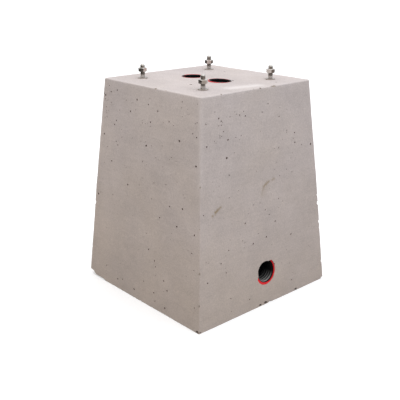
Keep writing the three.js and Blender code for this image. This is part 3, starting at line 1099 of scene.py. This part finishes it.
def colour_pipe(bm):
    """Black for the liner, the gap at the mouth and the worn place on the rim."""
    for face in bm.faces:
        middle = face.calc_center_median()
        radius = middle.xy.length
        in_groove = middle.z < PIPE_LOW_END + 2 * GROOVE_DEPTH and radius < GROOVE_RADIUS - GAP
        at_wear = middle.xy.normalized().dot(RIM_WEAR_WAY) > RIM_WEAR_REACH
        on_worn_rim = middle.z > RIM_HEIGHT - RIM_WEAR_DEPTH and at_wear
        dark = radius < PIPE_LINER_RADIUS or in_groove or on_worn_rim
        face.material_index = LINER_INDEX if dark else SKIN_INDEX


def mark_ripple_film_and_sheen(bm):
    """Mark the film of cement that lies on the ripples near the mouth, with a painted highlight on the
    crests of their lit side.
    """
    film_and_painted_light = bm.verts.layers.float.new(FILM_AND_SHEEN_NAME)
    for vert in bm.verts:
        radius = vert.co.xy.length
        crest = min(max((PIPE_BORE_RADIUS - radius) / PIPE_BORE_RIPPLE, 0), 1)
        low_side = min(max(vert.co.xy.dot(PIPE_FILM_AND_SHEEN_WAY) / radius, 0), 1)
        near_mouth = max(1 - (vert.co.z - PIPE_LOW_END) / PIPE_FILM_AND_SHEEN_REACH, 0)
        vert[film_and_painted_light] = PIPE_FILM_AND_SHEEN * crest * low_side * near_mouth


def narrow_groove(bm):
    """Close the gap between the two walls at the mouth, all but on one side."""
    closed = PIPE_LINER_RADIUS + GAP
    for vert in bm.verts:
        radius = vert.co.xy.length
        if vert.co.z < PIPE_LOW_END + 2 * GROOVE_DEPTH and abs(radius - GROOVE_RADIUS) < GROOVE_SNAP:
            gape = (vert.co.y / radius - GROOVE_SHUT_AT) / (GROOVE_WIDE_AT - GROOVE_SHUT_AT)
            vert.co.xy *= (closed + (GROOVE_RADIUS - closed) * min(max(gape, 0), 1)) / radius


def tilt_rim(bm, conduit):
    """Set the height of the bent conduit's rim over the top."""
    axis = Vector((conduit.side * PIPE_OFFSET, 0))
    high_towards = Vector(conduit.high_towards).normalized()
    for vert in bm.verts:
        near_rim = max(1 - (RIM_HEIGHT - vert.co.z) / PIPE_TOP_CUFF, 0)
        part = 0.5 + 0.5 * (vert.co.xy - axis).dot(high_towards) / PIPE_RADIUS
        proud = conduit.low_by + (conduit.high_by - conduit.low_by) * part
        vert.co.z += near_rim * (proud - PIPE_PROUD)


def build_conduit(conduit):
    bm = bmesh.new()
    spin_profile(bm, pipe_profile(conduit.top_recess), True, PIPE_SIDES)
    colour_pipe(bm)
    mark_ripple_film_and_sheen(bm)
    narrow_groove(bm)
    lean_to_face(bm)
    bend_to_route(bm, conduit.side)
    tilt_rim(bm, conduit)
    piece = new_piece("corrugated_conduit_" + conduit.name, bm, CONDUIT_MATERIALS)
    finish_piece(piece, "cable_conduit_" + conduit.name, sharp_angle=math.radians(35))


# Studs, nuts and washers

def threaded_rod(tip):
    """Rod with its thread, standing on the origin."""
    bm = bmesh.new()
    low = -THREAD_BELOW_TOP
    verts = [bm.verts.new((radius, 0, low + (part - 1) * THREAD_PITCH)) for radius, part in THREAD_TURN]
    edges = [bm.edges.new(pair) for pair in zip(verts, verts[1:])]
    turns = math.ceil((tip - low) / THREAD_PITCH) + 2
    bmesh.ops.spin(bm, geom=verts + edges, cent=(0, 0, 0), axis=UP, angle=turns * FULL_TURN,
                   dvec=UP * THREAD_PITCH / THREAD_STEPS, steps=turns * THREAD_STEPS, use_merge=False)
    bmesh.ops.remove_doubles(bm, verts=bm.verts, dist=HAIR)
    cut_plane(bm, UP * tip, UP, FINE_WELD, clear_outer=True)
    cut_plane(bm, UP * low, -UP, FINE_WELD, clear_outer=True)
    bmesh.ops.holes_fill(bm, edges=bm.edges, sides=0)
    bmesh.ops.recalc_face_normals(bm, faces=bm.faces)
    return bm


def domed_envelope(tip):
    """Plain rod with a domed tip, a little wider than the thread."""
    dome = []
    for step in range(TIP_STEPS):
        angle = step / TIP_STEPS * TIP_DOME_ANGLE
        dome.append((TIP_DOME_RADIUS * math.sin(angle), tip - TIP_DOME_RADIUS * (1 - math.cos(angle))))
    outside = STUD_RADIUS + GAP
    bm = bmesh.new()
    spin_profile(bm, [(0, -STUD_EMBEDDED), (outside, -STUD_EMBEDDED), (outside, dome[-1][1])] + dome[::-1],
                 False, ROUND_SIDES)
    return bm


def plain_shank():
    """The part of a stud that is deep in the concrete."""
    high = -THREAD_BELOW_TOP + THREAD_OVERLAP
    bm = bmesh.new()
    spin_profile(bm, [(0, -STUD_EMBEDDED), (SHANK_RADIUS, -STUD_EMBEDDED), (SHANK_RADIUS, high), (0, high)],
                 False, ROUND_SIDES)
    return bm


def build_stud(stud, place):
    rod = new_piece("threaded_stud_" + stud.name, threaded_rod(stud.tip), [STAINLESS])
    carve(rod, domed_envelope(stud.tip), "INTERSECT")
    carve(rod, plain_shank(), "UNION")
    rod.data.transform(Matrix.Translation(place))
    finish_piece(rod, "anchor_stud_" + stud.name, sharp_angle=math.radians(30))


def nut_chamfers(corner_radius):
    """Double cone that keeps a nut's chamfered corners."""
    face_radius = NUT_FACE_RATIO * NUT_ACROSS_FLATS / 2
    cone_radius = corner_radius + MM
    rise = (cone_radius - face_radius) * math.tan(NUT_CHAMFER_ANGLE)
    bm = bmesh.new()
    spin_profile(bm, [(0, 0), (face_radius, 0), (cone_radius, rise), (cone_radius, NUT_HEIGHT - rise),
                      (face_radius, NUT_HEIGHT), (0, NUT_HEIGHT)], False, ROUND_SIDES)
    return bm


def nut_bore():
    """Countersunk bore of a nut, as a cutter that reaches a little past both ends."""
    radius = STUD_RADIUS + GAP / 2
    past = MM
    sunk_radius = radius + NUT_COUNTERSINK + past
    bm = bmesh.new()
    spin_profile(bm, [(0, -past), (sunk_radius, -past), (radius, NUT_COUNTERSINK),
                      (radius, NUT_HEIGHT - NUT_COUNTERSINK), (sunk_radius, NUT_HEIGHT + past),
                      (0, NUT_HEIGHT + past)], False, ROUND_SIDES)
    return bm


def build_nut(stud, place):
    corner_radius = NUT_ACROSS_FLATS / 2 / math.cos(math.pi / 6)
    bm = bmesh.new()
    bmesh.ops.create_cone(bm, cap_ends=True, segments=6, radius1=corner_radius, radius2=corner_radius,
                          depth=NUT_HEIGHT)
    bmesh.ops.translate(bm, vec=UP * NUT_HEIGHT / 2, verts=bm.verts)
    nut = new_piece("stud_nut_" + stud.name, bm, [STAINLESS])
    carve(nut, nut_chamfers(corner_radius), "INTERSECT")
    carve(nut, nut_bore())
    nut.data.transform(Matrix.Translation(place) @ Matrix.Rotation(stud.flat, 4, "Z"))
    finish_piece(nut, "hex_nut_" + stud.name, sharp_angle=math.radians(25))


def build_washer(stud, place):
    bm = bmesh.new()
    outline = [(WASHER_INNER_RADIUS, 0), (WASHER_OUTER_RADIUS, 0), (WASHER_OUTER_RADIUS, WASHER_THICKNESS),
               (WASHER_INNER_RADIUS, WASHER_THICKNESS)]
    section = bm.faces.new([bm.verts.new((radius, 0, height)) for radius, height in outline])
    bmesh.ops.bevel(bm, geom=section.verts[:], offset=WASHER_EDGE, affect="VERTICES",
                    segments=WASHER_EDGE_SEGMENTS, profile=0.5, material=-1)
    bmesh.ops.delete(bm, geom=bm.faces[:], context="FACES_ONLY")
    spin_round(bm, bm.verts[:] + bm.edges[:], ROUND_SIDES)
    bmesh.ops.translate(bm, vec=place, verts=bm.verts)
    washer = new_piece("stud_washer_" + stud.name, bm, [STAINLESS])
    finish_piece(washer, "flat_washer_" + stud.name, sharp_angle=math.radians(50))


# Stage

def build_floor():
    """Pale floor. Bounced and mirrored light meets darker ground instead, as round the real block."""
    bm = bmesh.new()
    bmesh.ops.create_grid(bm, x_segments=4, y_segments=4, size=FLOOR_HALF_SIDE)
    material, tree, shader = new_material("pale_floor")
    path = add_node(tree, "ShaderNodeLightPath", {}).outputs
    outwards = vector_maths(tree, "NORMALIZE", object_place(tree))["Vector"]
    dull = vector_maths(tree, "DOT_PRODUCT", outwards, DULL_GROUND_WAY)["Value"]
    bright = vector_maths(tree, "DOT_PRODUCT", outwards, BRIGHT_GROUND_WAY)["Value"]
    mirrored = mix_colour(tree, remap(tree, dull, 0.2, 0.8), DARK_GROUND, DULL_GROUND)
    mirrored = mix_colour(tree, remap(tree, bright, 0.6, 0.9), mirrored, BRIGHT_GROUND)
    ground = mix_colour(tree, path["Is Glossy Ray"], BOUNCING_GROUND, mirrored)
    tone = mix_colour(tree, path["Is Camera Ray"], ground, PALE_FLOOR)
    tree.links.new(tone, shader.inputs["Base Color"])
    glow = mix_colour(tree, path["Is Camera Ray"], BLACK, FLOOR_GLOW)
    tree.links.new(glow, shader.inputs["Emission Color"])
    shader.inputs["Emission Strength"].default_value = 1.0
    shader.inputs["Roughness"].default_value = 1.0
    shader.inputs["Specular IOR Level"].default_value = 0.0
    floor = new_piece("floor", bm, [material])


def build_light():
    scene = bpy.context.scene
    scene.view_settings.view_transform = "Standard"
    world = bpy.data.worlds.new("studio")
    scene.world = world
    world.use_nodes = True
    tree = world.node_tree
    direction = add_node(tree, "ShaderNodeTexCoord", {}).outputs["Generated"]
    leftwards = vector_maths(tree, "DOT_PRODUCT", direction, LEFT_WAY)["Value"]
    tint = mix_colour(tree, remap(tree, leftwards, -0.6, 0.6), RIGHT_TINT, LEFT_TINT)
    height = remap(tree, axis_parts(tree, direction)["Z"], 0.0, 1.0)
    overcast = mix_colour(tree, height, HORIZON_LIGHT, ZENITH_LIGHT)
    sky = mix_colour(tree, 1.0, tint, overcast, "MULTIPLY")
    path = add_node(tree, "ShaderNodeLightPath", {}).outputs
    backdrop = mix_colour(tree, path["Is Camera Ray"], sky, WHITE)
    tree.links.new(backdrop, tree.nodes["Background"].inputs["Color"])

    lamp = bpy.data.lights.new("overhead", "SUN")
    lamp.energy = SUN_LIGHT
    lamp.angle = SUN_ANGLE
    overhead = bpy.data.objects.new("overhead", lamp)
    overhead.rotation_euler = SUN_LEAN
    scene.collection.objects.link(overhead)


def build_camera():
    lens = bpy.data.cameras.new("photo_view")
    lens.sensor_width = SENSOR_WIDTH
    lens.lens = FOCAL_PIXELS * SENSOR_WIDTH / PHOTO_SIDE
    lens.clip_end = VIEW_DISTANCE
    camera = bpy.data.objects.new("photo_view", lens)
    turn = (Matrix.Rotation(CAMERA_AZIMUTH, 4, "Z")
            @ Matrix.Rotation(math.pi / 2 - CAMERA_ELEVATION, 4, "X")
            @ Matrix.Rotation(CAMERA_ROLL, 4, "Z"))
    camera.matrix_world = Matrix.Translation(CAMERA_PLACE) @ turn
    bpy.context.scene.collection.objects.link(camera)
    bpy.context.scene.camera = camera


build_camera()
build_light()
build_floor()
build_block()
for pipe in CONDUITS:
    build_conduit(pipe)
for bolt in STUDS:
    seat = stud_place(bolt.corner)
    build_stud(bolt, seat)
    build_nut(bolt, seat + UP * bolt.nut_seat)
    build_washer(bolt, seat)
